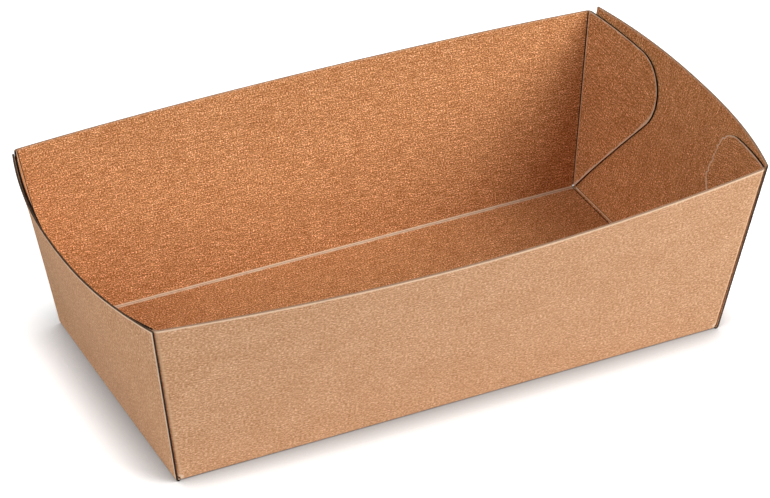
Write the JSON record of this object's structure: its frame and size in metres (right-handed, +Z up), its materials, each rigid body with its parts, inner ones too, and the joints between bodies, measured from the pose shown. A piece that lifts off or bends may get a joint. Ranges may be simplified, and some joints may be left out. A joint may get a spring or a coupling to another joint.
{
  "type": "folded kraft board food tray",
  "caption": "Open rectangular takeaway tray folded from one sheet of kraft board, with bowed leaning walls and glued corner flaps, for holding food.",
  "frame": {"origin": "middle of the tray's bottom, on the surface it stands on", "axes": "+X along the tray, +Y across it towards the back long wall, +Z up out of the open top"},
  "size_m": [0.173, 0.0985, 0.0501],
  "materials": {
    "kraft_board": "uncoated unbleached kraft board, matte, with fine fibre grain, small dark and pale flecks, and darker cut edges"
  },
  "bodies": {
    "root": {"folded_tray": "kraft_board"}
  },
  "joints": []
}
